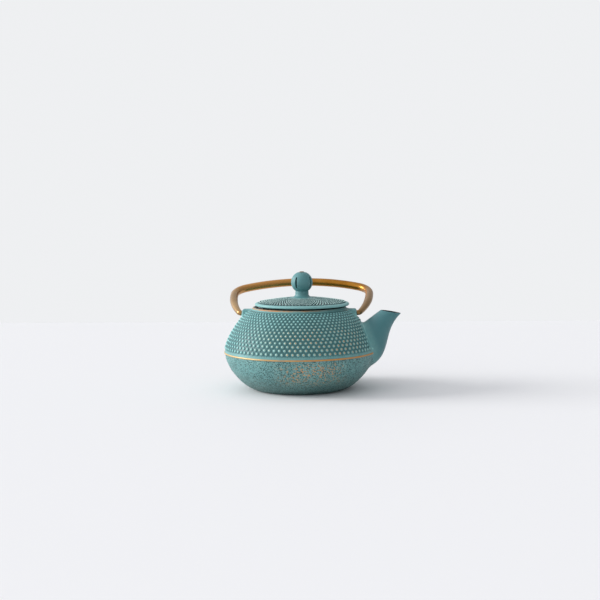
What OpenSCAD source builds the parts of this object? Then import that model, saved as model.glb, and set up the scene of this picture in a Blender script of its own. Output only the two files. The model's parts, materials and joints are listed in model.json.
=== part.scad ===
// Cast iron teapot with a hobnail shoulder, a bail handle and a steel tea basket.
// Millimetres. Z is up, X runs to the spout, the origin is the centre of the foot on the table.

/* [Pot casting] */
// Largest radius of the bowl, at the belt
belly_r = 75; // [73:0.5:77]
// Height of the belt above the table
belt_z = 37; // [35:0.5:39]
// Height of the rim of the mouth
rim_z = 81.5; // [80.5:0.5:82.5]
// Outer radius of the rim of the mouth
rim_r = 46.4; // [46:0.1:47]
// Wall thickness of the casting
wall = 3; // [2.8:0.1:3.6]
// Radius of the belt bead's round section
belt_bead_r = 0.8; // [0.5:0.1:1]
// Inner radius of the foot ring
foot_inner_r = 38; // [34:1:40]

/* [Spout] */
// Half width of the spout at its lip
lip_half_w = 7.6; // [7:0.2:9]
// Half width of the spout where it leaves the bowl
root_half_w = 21; // [18:0.5:22]
// Wall thickness of the spout
spout_wall = 2.4; // [2:0.1:3]

/* [Handle lugs] */
// Width of a lug along the rim
lug_w = 17; // [14:1:20]
// Height of the flat top of a lug
lug_top_z = 79.5; // [79:0.5:80]
// Height of the handle's pivot axis
pivot_z = 75.3; // [75:0.1:75.8]
// Radius of the holes that take the handle's tips
lug_hole_r = 2.65; // [2.6:0.05:2.8]

/* [Bail handle] */
// Distance from the pivot axis to the middle of the grip
bail_reach = 85.5; // [82:0.5:88]
// Radius of the grip's centreline
grip_bend_r = 117; // [110:1:125]
// Radius of the two shoulders' centreline
shoulder_bend_r = 22; // [19:1:25]
// Radius of the arms' centreline
arm_bend_r = 128; // [120:1:135]
// Half width of the handle, between the centreline's widest points
bail_half_w = 69.8; // [69:0.2:71]
// Height over the pivot at which the handle is widest
bail_wide_h = 50; // [46:1:54]
// Radius of the rod
rod_r = 4.1; // [3.6:0.1:4.2]
// How far the handle is bent askew: its reach grows by this share for each mm towards the spout
bail_skew = 0.0003; // [0:0.0001:0.0005]
// Radius of the tips that turn in the lugs
tip_r = 2.4; // [2.2:0.05:2.4]
// Angle that the handle leans back from upright at rest
bail_lean = 73; // [65:1:78]

/* [Lid] */
// Largest radius of the lid
lid_r = 47; // [46.5:0.1:47.5]
// Height of the lid's lower edge above the table
lid_z = 82.8; // [82.5:0.1:83.2]
// How far the lid lies off centre, towards the spout, in its seat
lid_shift = 2.8; // [0:0.1:2.9]
// Depth of the ring that locates the lid in the basket
locating_ring_h = 8; // [5:1:10]

/* [Knob] */
// Radius of the ball
knob_r = 10.7; // [10:0.1:11.2]
// Height of the ball's centre
knob_z = 105.9; // [105.5:0.1:106.5]
// Number of slots in the ball
slot_count = 4; // [3:1:6]
// Width of a slot
slot_w = 1.7; // [1.2:0.1:2]

/* [Tea basket] */
// Outer radius of the basket's wall
basket_r = 33.6; // [32.8:0.1:33.8]
// Height of the basket's bottom above the table
basket_z = 22; // [18:1:30]
// Thickness of the basket's sheet
sheet = 0.5; // [0.4:0.1:0.6]

/* [Hidden] */

$fn = 96;
eps = 0.01;

glaze = [0.37, 0.56, 0.55];
black_enamel = [0.06, 0.06, 0.065];
bronze = [0.62, 0.45, 0.24];
steel = [0.75, 0.76, 0.77];

// ---- bowl and shoulder: radius as a function of height ----
bowl_core_r = 39;                       // the bowl's curve starts from this radius
bowl_depth = 38.3;                      // and would close this far below the belt
bowl_power = 1.65;
shoulder_rate = 0.06;
shoulder_power = 1.6;
shoulder_top_z = 76.5;                  // the shoulder's curve ends here, under the rim's flare
overhang = 0.5;                         // the shoulder stands this much proud of the bowl at the belt
bowl_steps = 14;
shoulder_steps = 10;

function bowl_r(z) = let (t = min(1, (belt_z - z) / bowl_depth))
    bowl_core_r + (belly_r - overhang - bowl_core_r) * pow(1 - pow(t, bowl_power), 1 / bowl_power);
function shoulder_r(z) = belly_r - shoulder_rate * pow(z - belt_z, shoulder_power);

function bowl_points() = [for (i = [0:bowl_steps])
    let (z = belt_z * (1 - cos(90 * i / bowl_steps))) [bowl_r(z), z]];
function shoulder_points() = [for (i = [0:shoulder_steps])
    let (z = belt_z + (shoulder_top_z - belt_z) * i / shoulder_steps) [shoulder_r(z), z]];
outside = concat(bowl_points(), shoulder_points());

// the wall's inside follows the same line without the overhang, moved in along its normals
wall_line = concat([for (p = bowl_points()) if (p[1] < belt_z) p], shoulder_points());
function inward(p, q, d) = let (v = q - p) d * [-v[1], v[0]] / norm(v);
function moved_in(line, d) = [for (i = [1:len(line) - 2])
    line[i] + inward(line[i - 1], line[i + 1], d)];

// ---- mouth ----
mouth_r = 39.5;                         // bore of the mouth
mouth_bottom_z = 76;
seat_r = 42.6;                          // recess that takes the basket's flange
seat_z = 79.9;
flange_t = 0.6;
collar_step = 0.8;                      // the shoulder ends this far outside the rim
cavity_top_z = 69;                      // above this the cavity narrows in to the mouth
cavity_neck_r = 46.5;                   // and passes through this point on its way
cavity_neck_z = 73;

// the cavity: the wall's inside up to its narrowing, then the mouth; reduced by a coat thickness
function cavity(coat) = concat(
    [[0, wall + coat]],
    [for (p = moved_in(wall_line, wall + coat)) if (p[1] > wall + coat + 0.4 && p[1] < cavity_top_z) p],
    [[cavity_neck_r - coat, cavity_neck_z - coat / 2], [mouth_r - coat, mouth_bottom_z - coat / 2]]);

module revolve(points) { rotate_extrude() polygon(points); }

// a closed tube through rings of points that all have the same count
module tube(rings) {
    n = len(rings[0]);
    sides = [for (i = [0:len(rings) - 2]) for (k = [0:n - 1])
        let (here = i * n, next = here + n, m = (k + 1) % n)
        each [[here + k, here + m, next + m], [here + k, next + m, next + k]]];
    first = [for (k = [n - 1:-1:0]) k];
    last = [for (k = [0:n - 1]) (len(rings) - 1) * n + k];
    polyhedron([for (ring = rings) each ring], concat([first], sides, [last]));
}

// ---- spout: an oval section swept from the lip down into the bowl ----
lip_heel = [80.9, 77.9];                // the lip's end nearest the pot
lip_toe = [101, 74.6];                  // and its far end
top_run = [-29, -21.6];                 // the upper edge is straight, this long
under_curve = [lip_toe, [81.6, 56], [93.4, 34.2], [70.4, 21.8]];
spout_end_t = 1.08;                     // the sweep runs on a little, inside the bowl
spout_rings = 12;
spout_sides = 28;

function bezier(p, t) = pow(1 - t, 3) * p[0] + 3 * pow(1 - t, 2) * t * p[1]
    + 3 * (1 - t) * t * t * p[2] + pow(t, 3) * p[3];
function top_edge(t) = lip_heel + t * top_run;
function half_w(t) = lip_half_w + (root_half_w - lip_half_w) * pow(max(t, 0), 0.85);
// one oval ring, thinner by d, as points in space
function spout_ring(t, d) = let (u = top_edge(t), l = bezier(under_curve, t), c = (u + l) / 2,
        a = norm(u - l) / 2, dir = (l - u) / (2 * a))
    [for (k = [0:spout_sides - 1]) let (w = 360 * k / spout_sides,
        q = c + dir * (a - d) * cos(w)) [q[0], (half_w(t) - d) * sin(w), q[1]]];
module spout_sweep(t_from, t_to, d) {
    tube([for (i = [0:spout_rings]) spout_ring(t_from + (t_to - t_from) * i / spout_rings, d)]);
}
module spout_channel() { spout_sweep(-0.08, 1.16, spout_wall); }

// ---- lugs ----
lug_outer_x = 57.1;                     // outer face, level with the pivot
lug_inner_x = 43;
lug_hole_depth = 6.4;
lug_face_low_z = 71;                    // the outer face runs down to here, where it meets the shoulder
lug_root_z = 68;                        // and its root ends here, inside the wall
lug_taper = 2;                          // each side leans in this much towards the top
lug_corner_r = 3;
lug_side = [[lug_inner_x, lug_root_z + 2], [lug_inner_x, lug_top_z], [lug_outer_x - 2, lug_top_z],
            [lug_outer_x - 0.5, lug_top_z - 1], [lug_outer_x, pivot_z], [lug_outer_x + 0.4, lug_face_low_z],
            [lug_outer_x, lug_root_z], [lug_outer_x - 5, lug_root_z]];
module lug() {
    intersection() {
        translate([0, lug_w / 2, 0]) rotate([90, 0, 0]) linear_extrude(lug_w) polygon(lug_side);
        translate([lug_inner_x - 3, 0, 0]) rotate([90, 0, 90]) linear_extrude(20) lug_face();
    }
}
// the lug seen from outside: narrower and rounded at the top
module lug_face() {
    half = lug_w / 2;
    top_half = half - lug_taper;
    corner_z = lug_top_z - lug_corner_r;
    polygon([[-half, lug_root_z - 8], [half, lug_root_z - 8], [half, lug_face_low_z], [top_half, corner_z],
             [-top_half, corner_z], [-half, lug_face_low_z]]);
    for (side = [-1, 1]) translate([side * (top_half - lug_corner_r), corner_z]) circle(lug_corner_r);
    translate([lug_corner_r - top_half, corner_z - lug_corner_r])
        square([2 * (top_half - lug_corner_r), 2 * lug_corner_r]);
}
module lug_hole() {
    translate([lug_outer_x - lug_hole_depth, 0, pivot_z])
        rotate([0, 90, 0]) cylinder(h = 10, r = lug_hole_r);
}

module pot_body() {
    foot_recess = 1.2;
    color(glaze) difference() {
        union() {
            revolve(concat([[0, 0]], outside,
                [[rim_r + collar_step, rim_z - 1.3], [rim_r, rim_z - 0.7], [rim_r, rim_z], [0, rim_z]]));
            translate([0, 0, belt_z])
                rotate_extrude() translate([belly_r - overhang, 0]) circle(belt_bead_r, $fn = 24);
            spout_sweep(0, spout_end_t, 0);
            lug();
            mirror([1, 0, 0]) lug();
        }
        revolve(concat(cavity(0), [[mouth_r, rim_z + 1], [0, rim_z + 1]]));
        translate([0, 0, seat_z]) cylinder(h = 5, r = seat_r);
        spout_channel();
        lug_hole();
        mirror([1, 0, 0]) lug_hole();
        translate([0, 0, -1]) cylinder(h = 1 + foot_recess, r = foot_inner_r);
    }
}

module enamel_lining() {
    coat = 0.35;
    color(black_enamel) difference() {
        revolve(concat(cavity(0), [[0, mouth_bottom_z]]));
        revolve(concat(cavity(coat), [[mouth_r - coat, mouth_bottom_z + 1], [0, mouth_bottom_z + 1]]));
        spout_channel();
    }
}

// ---- lid ----
neck_top_z = 97.4;
neck_r = 6.6;
flare_r = 12.2;                         // where the neck's flare meets the top of the lid
flare_z = 90.7;
flare_h = 3.4;
edge_z = 85.9;                          // top of the lid's rounded edge
edge_r = 44.2;
land_r = 39.3;                          // the flat that rests on the basket's flange
ring_r = 29.8;                          // outside of the locating ring
ring_wall = 2.6;
lid_under_z = 87;                       // underside at the rivet, flat out to the washer's seat
washer_seat_r = 8;
lid_hollow_z = 84.4;                    // underside where it meets the locating ring
washer_r = 6;
washer_t = 1;
rivet_r = 1.9;
rivet_hole_r = 2;
dome_steps = 6;
function dome_z(r) = flare_z - (flare_z - edge_z) * pow((r - flare_r) / (edge_r - flare_r), 1.25);
rest_z = seat_z + flange_t;
module lid() {
    flare = [for (a = [0:15:90])
        [flare_r - (flare_r - neck_r) * sin(a), flare_z + flare_h * (1 - cos(a))]];
    dome = [for (i = [0:dome_steps - 1])
        let (r = edge_r + (flare_r - edge_r) * i / dome_steps) [r, dome_z(r)]];
    color(glaze) translate([lid_shift, 0, 0]) difference() {
        revolve(concat(
            [[0, lid_under_z], [washer_seat_r, lid_under_z], [ring_r - ring_wall - 1.5, lid_hollow_z],
             [ring_r - ring_wall, rest_z - locating_ring_h], [ring_r, rest_z - locating_ring_h],
             [ring_r, rest_z], [land_r, rest_z], [land_r, lid_z], [lid_r - 1.2, lid_z],
             [lid_r - 0.3, lid_z + 0.6], [lid_r, lid_z + 1.5], [lid_r - 0.4, lid_z + 2.3],
             [lid_r - 1.4, lid_z + 2.9]],
            dome, flare, [[neck_r, neck_top_z - 0.7], [neck_r - 0.7, neck_top_z], [0, neck_top_z]]));
        cylinder(h = 120, r = rivet_hole_r);
    }
}

knob_top_z = 115.8;
knob_inner_r = 8.3;
slot_from_r = 6;                        // the slots are cut from here outwards
slot_turn = -31;                        // first slot's place, from the front towards the left
module knob() {
    slot_h = 11;
    floor_z = 99.6;
    roof_z = 113.4;
    color(glaze) translate([lid_shift, 0, 0]) difference() {
        intersection() {
            translate([0, 0, knob_z]) sphere(knob_r);
            translate([0, 0, neck_top_z]) cylinder(h = knob_top_z - neck_top_z, r = 20);
        }
        intersection() {
            translate([0, 0, knob_z]) sphere(knob_inner_r);
            translate([0, 0, floor_z]) cylinder(h = roof_z - floor_z, r = 20);
        }
        for (i = [0:slot_count - 1]) rotate(-90 + slot_turn + 360 * i / slot_count)
            translate([slot_from_r, -slot_w / 2, knob_z - slot_h / 2]) cube([knob_r, slot_w, slot_h]);
        cylinder(h = 130, r = rivet_hole_r);
    }
}

module knob_rivet() {
    head_h = 0.9;
    head_r = 2.6;
    peen_h = 1.1;
    peen_r = 3.2;
    color(bronze) translate([lid_shift, 0, 0]) {
        translate([0, 0, lid_under_z - washer_t - eps])
            cylinder(h = knob_top_z - lid_under_z + washer_t + 2 * eps, r = rivet_r);
        translate([0, 0, knob_top_z])
            revolve([[0, 0], [head_r, 0], [head_r - 0.2, 0.4], [head_r - 1, 0.75],
                     [head_r - 1.8, head_h], [0, head_h]]);
        translate([0, 0, lid_under_z - washer_t - peen_h])
            revolve([[0, 0], [peen_r - 1.2, 0], [peen_r - 0.2, 0.4], [peen_r, peen_h], [0, peen_h]]);
    }
}

module rivet_washer() {
    color(steel) translate([lid_shift, 0, lid_under_z - washer_t]) difference() {
        cylinder(h = washer_t, r = washer_r);
        translate([0, 0, -1]) cylinder(h = 3, r = rivet_hole_r);
    }
}

// ---- bail handle: drawn flat, x across and y up from the pivot axis, then leaned back ----
grip_centre = [0, bail_reach - grip_bend_r];
arm_centre = [bail_half_w - arm_bend_r, bail_wide_h];
// centre of the shoulder's bend, tangent to the grip's arc and to the arm's arc
centre_gap = norm(arm_centre - grip_centre);
to_grip = grip_bend_r - shoulder_bend_r;
to_arm = arm_bend_r - shoulder_bend_r;
along = (to_grip * to_grip - to_arm * to_arm + centre_gap * centre_gap) / (2 * centre_gap);
across = sqrt(to_grip * to_grip - along * along);
gap_dir = (arm_centre - grip_centre) / centre_gap;
shoulder_centre = grip_centre + along * gap_dir + across * [gap_dir[1], -gap_dir[0]];
grip_end_a = atan2(shoulder_centre[1] - grip_centre[1], shoulder_centre[0] - grip_centre[0]);
arm_start_a = atan2(shoulder_centre[1] - arm_centre[1], shoulder_centre[0] - arm_centre[0]);
hook_bend_r = 3.2;
arm_end_a = asin((hook_bend_r - bail_wide_h) / (arm_bend_r - hook_bend_r));
hook_centre = arm_centre + (arm_bend_r - hook_bend_r) * [cos(arm_end_a), sin(arm_end_a)];
hook_r = 2.6;                           // radius of the rod at the hook, where the arm has thinned
thin_from_h = 34;                       // the arm starts to thin at this height over the pivot
rod_sides = 20;
tip_end_x = lug_outer_x - lug_hole_depth + 0.8;

// centreline points as [x, y, heading across the rod], from the middle of the grip to one hook
function arc(centre, r, a_from, a_to, steps) = [for (i = [1:steps])
    let (a = a_from + (a_to - a_from) * i / steps) [centre[0] + r * cos(a), centre[1] + r * sin(a), a]];
half_line = concat(
    arc(grip_centre, grip_bend_r, 90, grip_end_a, 8),
    arc(shoulder_centre, shoulder_bend_r, grip_end_a, arm_start_a, 8),
    arc(arm_centre, arm_bend_r, arm_start_a, arm_end_a, 9),
    arc(hook_centre, hook_bend_r, arm_end_a, -90, 6));
function flip(line) = [for (i = [len(line) - 1:-1:0]) [-line[i][0], line[i][1], 180 - line[i][2]]];
bail_line = concat(flip(half_line), [[0, bail_reach, 90]], half_line);
function skewed(c) = [c[0], c[1] * (1 + bail_skew * c[0]), c[2]];
function rod_radius(h) = h > thin_from_h ? rod_r
    : hook_r + (rod_r - hook_r) * sqrt(max(h, 0) / thin_from_h);

// one ring of the rod round a point of the centreline
function rod_ring(c, r) = [for (k = [0:rod_sides - 1]) let (w = -360 * k / rod_sides)
    [c[0] + r * cos(w) * cos(c[2]), c[1] + r * cos(w) * sin(c[2]), r * sin(w)]];
module bail_handle() {
    color(bronze) translate([0, 0, pivot_z]) rotate([90 - bail_lean, 0, 0]) {
        tube([for (p = bail_line) rod_ring(skewed(p), rod_radius(p[1]))]);
        for (side = [0, 180]) rotate(side) translate([tip_end_x, 0, 0]) rotate([0, 90, 0])
            cylinder(h = hook_centre[0] + 1 - tip_end_x, r = tip_r);
    }
}

// ---- tea basket ----
module infuser_rim() {
    flange_r = 42.2;
    sleeve_h = 8;
    color(steel) {
        revolve([[basket_r, seat_z - sleeve_h], [basket_r + sheet, seat_z - sleeve_h],
                 [basket_r + sheet, seat_z], [flange_r, seat_z], [flange_r, rest_z], [basket_r, rest_z]]);
    }
}
module infuser_mesh() {
    color(steel) translate([0, 0, basket_z + 1]) difference() {
        cylinder(h = seat_z - basket_z - 2, r = basket_r);
        translate([0, 0, -1]) cylinder(h = 80, r = basket_r - sheet);
    }
}
module infuser_base() {
    cup_h = 6;
    color(steel) revolve([[0, basket_z], [basket_r - 1, basket_z], [basket_r + sheet, basket_z + 1.5],
                          [basket_r + sheet, basket_z + cup_h], [basket_r, basket_z + cup_h],
                          [basket_r, basket_z + 1], [0, basket_z + sheet]]);
}

pot_body();
enamel_lining();
lid();
knob();
knob_rivet();
rivet_washer();
bail_handle();
infuser_rim();
infuser_mesh();
infuser_base();
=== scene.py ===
import json
import math

import bpy
import numpy as np
from mathutils import Matrix, Vector


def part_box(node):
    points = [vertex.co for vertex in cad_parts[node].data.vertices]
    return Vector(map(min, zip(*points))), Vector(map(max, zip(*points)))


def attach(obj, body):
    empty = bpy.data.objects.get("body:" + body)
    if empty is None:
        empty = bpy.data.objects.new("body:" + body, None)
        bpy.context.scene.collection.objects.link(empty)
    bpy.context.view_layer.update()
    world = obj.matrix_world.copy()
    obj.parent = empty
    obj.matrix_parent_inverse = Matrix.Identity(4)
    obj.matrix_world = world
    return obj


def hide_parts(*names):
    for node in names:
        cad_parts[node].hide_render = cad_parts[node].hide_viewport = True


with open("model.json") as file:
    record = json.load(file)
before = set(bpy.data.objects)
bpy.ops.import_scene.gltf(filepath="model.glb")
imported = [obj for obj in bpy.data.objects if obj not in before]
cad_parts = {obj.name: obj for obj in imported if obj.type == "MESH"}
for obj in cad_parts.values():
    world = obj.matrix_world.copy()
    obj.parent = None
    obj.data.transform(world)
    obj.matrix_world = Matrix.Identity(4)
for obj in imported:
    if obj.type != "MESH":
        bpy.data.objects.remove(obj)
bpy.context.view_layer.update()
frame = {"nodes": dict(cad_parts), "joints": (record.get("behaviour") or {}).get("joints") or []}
scene = bpy.context.scene
MM = 0.001
rng = np.random.default_rng(11)


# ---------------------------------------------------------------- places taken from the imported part
def box_mm(node):
    lo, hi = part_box(node)
    return np.array(lo) / MM, np.array(hi) / MM


POT_HI = box_mm("pot_body")[1]
LID_LO, LID_HI = box_mm("lid")
KNOB_LO, KNOB_HI = box_mm("knob")
RIVET_LO, RIVET_HI = box_mm("knob_rivet")
RIM_LO, RIM_HI = box_mm("infuser_rim")
WALL_LO, WALL_HI = box_mm("infuser_mesh")
CUP_LO, CUP_HI = box_mm("infuser_base")
PIVOT = np.array(next(j for j in frame["joints"] if j["name"] == "bail_swing")["pos_m"]) / MM
LID_X = (LID_LO[0] + LID_HI[0]) / 2


# ---------------------------------------------------------------- mesh tools, in millimetres
def make(name, verts, faces, smooth_deg=50):
    me = bpy.data.meshes.new(name)
    me.from_pydata((np.asarray(verts, float) * MM).tolist(), [], faces)
    me.validate()
    ob = bpy.data.objects.new(name, me)
    scene.collection.objects.link(ob)
    shade(ob, smooth_deg)
    return ob


def shade(ob, smooth_deg):
    ob.data.shade_smooth()
    ob.data.set_sharp_from_angle(angle=math.radians(smooth_deg))


def ring_strip(a, b):
    """Quads between two closed rings of vertex numbers; b lies above a, seen from outside."""
    n = len(a)
    return [(a[k], a[(k + 1) % n], b[(k + 1) % n], b[k]) for k in range(n)]


def circle(x, r, z, n):
    return [(x + r * math.cos(2 * math.pi * k / n), r * math.sin(2 * math.pi * k / n), z) for k in range(n)]


def lathe(profile, n, x=0.0):
    """A closed solid of revolution from (r, z) points, running from the axis below to the axis above."""
    verts, faces, rings = [], [], []
    for r, z in profile:
        if r < 1e-6:
            rings.append([len(verts)])
            verts.append((x, 0, z))
        else:
            rings.append(list(range(len(verts), len(verts) + n)))
            verts += circle(x, r, z, n)
    for a, b in zip(rings, rings[1:]):
        if len(a) == 1:
            faces += [(a[0], b[(k + 1) % n], b[k]) for k in range(n)]
        elif len(b) == 1:
            faces += [(a[k], a[(k + 1) % n], b[0]) for k in range(n)]
        else:
            faces += ring_strip(a, b)
    return verts, faces


def tube_rings(rings):
    """A closed solid through rings of points, each ring turning the same way."""
    n = len(rings[0])
    verts = [p for ring in rings for p in ring]
    faces = []
    for i in range(len(rings) - 1):
        faces += ring_strip(range(i * n, i * n + n), range(i * n + n, i * n + 2 * n))
    for i, flip in ((0, True), (len(rings) - 1, False)):
        centre = len(verts)
        verts.append(tuple(np.mean(rings[i], axis=0)))
        for k in range(n):
            a, b = i * n + k, i * n + (k + 1) % n
            faces.append((b, a, centre) if flip else (a, b, centre))
    return verts, faces


def tube_of(profile, n, x=0.0):
    """A solid of revolution from a closed line of (r, z) points that stays clear of the axis."""
    rings = [list(range(i * n, i * n + n)) for i in range(len(profile))]
    faces = [f for a, b in zip(rings, rings[1:] + rings[:1]) for f in ring_strip(a, b)]
    return [p for r, z in profile for p in circle(x, r, z, n)], faces


def combine(ob, operation, *others):
    """Joins or cuts ob with the other solids, which are then removed."""
    for o in others:
        m = ob.modifiers.new("solid", "BOOLEAN")
        m.solver, m.operation, m.object = "MANIFOLD", operation, o
    bpy.context.view_layer.update()
    graph = bpy.context.evaluated_depsgraph_get()
    mesh = bpy.data.meshes.new_from_object(ob.evaluated_get(graph))
    if len(mesh.polygons) < 8:
        raise RuntimeError(f"{ob.name}: the solids could not be combined")
    ob.modifiers.clear()
    ob.data = mesh
    for o in others:
        bpy.data.objects.remove(o)
    return ob


def positions(ob):
    co = np.empty(len(ob.data.vertices) * 3)
    ob.data.vertices.foreach_get("co", co)
    return co.reshape(-1, 3) / MM


def attribute(ob, name, values):
    at = ob.data.attributes.new(name, "FLOAT", "POINT")
    at.data.foreach_set("value", np.asarray(values, np.float32))


def smoothstep(a, b, x):
    t = np.clip((np.asarray(x, float) - a) / (b - a), 0, 1)
    return t * t * (3 - 2 * t)


class Line:
    """A profile line of (r, z) points that can be asked for the place at any distance along it."""

    def __init__(self, points):
        self.p = np.asarray(points, float)
        self.s = np.concatenate([[0], np.cumsum(np.hypot(*np.diff(self.p, axis=0).T))])

    def at(self, s):
        return np.interp(s, self.s, self.p[:, 0]), np.interp(s, self.s, self.p[:, 1])

    def out(self, s):
        """Unit normal, to the right of the way along the line."""
        e = 0.4
        s = np.clip(s, e, self.s[-1] - e)
        (r0, z0), (r1, z1) = self.at(s - e), self.at(s + e)
        d = np.hypot(r1 - r0, z1 - z0)
        return (z1 - z0) / d, -(r1 - r0) / d


# ---------------------------------------------------------------- cast studs
STUD_BASE, STUD_MID, STUD_HIGH = (0.335, 0.012), (0.268, 0.125), (0.145, 0.215)   # (radius, height) / pitch
STUD_TIP = 0.25
ROW_STEP = 0.75                     # distance between rows / pitch
SINK = 0.10                         # the ground between the studs lies this much lower / pitch
STUD_UNEVEN = 0.08                  # studs differ by this share in height
SAND_LIFT, SAND_SINK = 0.13, 0.16   # the sandy half's grain, and how far it lies under the plain outline


def stud_rows(line, s, count, around):
    """Distances along the line of count rows, spaced by the pitch there, with one more before and after."""
    def step(at):
        return ROW_STEP * 2 * math.pi * line.at(at)[0] / around
    rows = [s - step(s - step(s) / 2), s]
    while len(rows) < count + 2:
        rows.append(rows[-1] + step(rows[-1] + step(rows[-1]) / 2))
    return rows


def studded(verts, faces, surface, line, rows, around, height, first_ring, last_ring):
    """Adds rows of staggered studs between two plain rings of 4 * around vertices each.
    rows holds the distance along the line of every row and of the plain rings' places before and after."""
    count = len(rows) - 2
    half = math.pi / around
    corner, edges = {}, {}
    for i, ring in ((-1, first_ring), (count, last_ring)):
        for c in range(2 * around):
            if (c + i) % 2:
                corner[c, i] = ring[2 * c]

    def corner_at(c, i):
        c %= 2 * around
        if (c, i) not in corner:
            corner[c, i] = len(verts)
            verts.append(surface(c * half, rows[i + 1], 0))
        return corner[c, i]

    def edge(c0, i0, c1, i1):
        """The two vertices along a cell's edge, from its first end to its second."""
        a, b = (c0 % (2 * around), i0), (c1 % (2 * around), i1)
        if (a, b) not in edges:
            got = []
            for f in (1 / 3, 2 / 3):
                got.append(len(verts))
                verts.append(surface((c0 + f * (c1 - c0)) * half,
                                     rows[i0 + 1] + f * (rows[i1 + 1] - rows[i0 + 1]), 0))
            edges[a, b], edges[b, a] = got, got[::-1]
        return edges[a, b]

    for i in range(count):
        s = rows[i + 1]
        r = line.at(s)[0]
        pitch = 2 * math.pi * r / around
        for k in range(around):
            c = 2 * k + i % 2
            loop = []
            turn = [(c + 1, i), (c, i + 1), (c - 1, i), (c, i - 1)]
            for a, b in zip(turn, turn[1:] + turn[:1]):
                loop += [corner_at(*a)] + edge(*a, *b)
            h = height(c * half, s)
            size = 1 + 0.05 * rng.uniform(-1, 1)
            du, dv = 0.02 * pitch * rng.uniform(-1, 1, 2)
            previous = loop
            for radius, lift in (STUD_BASE, STUD_MID, STUD_HIGH):
                ring = []
                for j in range(12):
                    a = math.pi * j / 6
                    ring.append(len(verts))
                    verts.append(surface(c * half + (du + size * radius * pitch * math.cos(a)) / r,
                                         s + dv + size * radius * pitch * math.sin(a), lift * pitch * h))
                faces.extend(ring_strip(previous, ring))
                previous = ring
            tip = len(verts)
            verts.append(surface(c * half + du / r, s + dv, STUD_TIP * pitch * h))
            faces.extend((previous[j], previous[(j + 1) % 12], tip) for j in range(12))
    n = 4 * around
    for c in range(2 * around):                       # half cells against the plain rings
        if (c - 1) % 2:
            ring = [first_ring[(2 * c + j) % n] for j in range(5)]
            faces.append(tuple(ring + edge(c + 2, -1, c + 1, 0) + [corner_at(c + 1, 0)]
                               + edge(c + 1, 0, c, -1)))
        if (c + count) % 2:
            ring = [last_ring[(2 * c + j) % n] for j in range(5)][::-1]
            faces.append(tuple(ring + edge(c, count, c + 1, count - 1) + [corner_at(c + 1, count - 1)]
                               + edge(c + 1, count - 1, c + 2, count)))


# ---------------------------------------------------------------- pot: lines of the casting
BELT_Z, BELLY_R, OVERHANG = 37.0, 75.0, 0.5
BOWL_CORE, BOWL_DEPTH, BOWL_POWER = 39.0, 38.3, 1.65
SHOULDER_TOP = 76.5
RIM_Z = POT_HI[2]
RIM_R = 46.4
PAINT_END = 45.2                    # radius on the rim's top where the paint ends
WALL = 3.0
SPOUT_WALL = 2.4
CAVITY_TOP = 69                     # above this the cavity narrows in to the mouth
MOUTH_R, SEAT_R, SEAT_Z = 39.5, 42.6, 79.9
FOOT_R, FOOT_DEPTH = 38.0, 1.2      # the hollow inside the foot ring
POT_ROUND = 180                     # sides of the round cutters


def bowl_r(z):
    t = np.clip((BELT_Z - z) / BOWL_DEPTH, 0, 1)
    return BOWL_CORE + (BELLY_R - OVERHANG - BOWL_CORE) * (1 - t ** BOWL_POWER) ** (1 / BOWL_POWER)


def shoulder_r(z):
    return BELLY_R - 0.06 * np.maximum(z - BELT_Z, 0) ** 1.6


BOWL = Line([(bowl_r(z), z) for z in BELT_Z * (1 - np.cos(np.linspace(0, math.pi / 2, 200)))])
SHOULDER = Line([(shoulder_r(z), z) for z in np.linspace(BELT_Z, SHOULDER_TOP, 200)]
                + [(RIM_R + 0.8, RIM_Z - 1.3), (RIM_R, RIM_Z - 0.7), (RIM_R, RIM_Z)])
STUDS_AROUND = 90
STUD_ROWS = 14
POT_ROWS = stud_rows(SHOULDER, 5.5, STUD_ROWS, STUDS_AROUND)


def sunk(s):
    """How far the shoulder's ground lies under the plain outline."""
    pitch = 2 * math.pi * SHOULDER.at(s)[0] / STUDS_AROUND
    return SINK * pitch * (1 - smoothstep(POT_ROWS[-1] - 0.5, POT_ROWS[-1] + 2.5, s))


def shoulder_point(a, s, h):
    r, z = SHOULDER.at(s)
    nr, nz = SHOULDER.out(s)
    d = h - sunk(s)
    return ((r + nr * d) * math.cos(a), (r + nr * d) * math.sin(a), z + nz * d)


# outer line from the table to the rim, used where the spout meets the pot
OUTER = Line(np.vstack([BOWL.p[:-1], [[SHOULDER.at(s)[0] - SHOULDER.out(s)[0] * sunk(s),
                                       SHOULDER.at(s)[1] - SHOULDER.out(s)[1] * sunk(s)]
                                      for s in np.linspace(0.3, SHOULDER.s[-1] - 1.2, 160)]]))


def outer_point(a, s, lift):
    r, z = OUTER.at(s)
    nr, nz = OUTER.out(s)
    return np.array([(r + nr * lift) * math.cos(a), (r + nr * lift) * math.sin(a), z + nz * lift])


# ---------------------------------------------------------------- spout
LIP_HEEL, LIP_TOE = np.array([80.9, 77.9]), np.array([POT_HI[0], 74.6])
TOP_RUN = np.array([-29.0, -21.6])
UNDER = [LIP_TOE, np.array([81.6, 56.0]), np.array([93.4, 34.2]), np.array([70.4, 21.8])]
TOP_LENGTH = 36                     # length of TOP_RUN, to turn a depth into a share of it
LIP_HALF, ROOT_HALF = 7.6, 21.0
LIP_ROUND, LIP_WALL = 0.45, 1.1
SPOUT_SIDES, LIP_STEPS, SPOUT_STEPS, FILLET_STEPS = 60, 5, 26, 6


def under_edge(t):
    a, b, c, d = UNDER
    return ((1 - t) ** 3)[:, None] * a + (3 * (1 - t) ** 2 * t)[:, None] * b \
        + (3 * (1 - t) * t ** 2)[:, None] * c + (t ** 3)[:, None] * d


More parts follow.
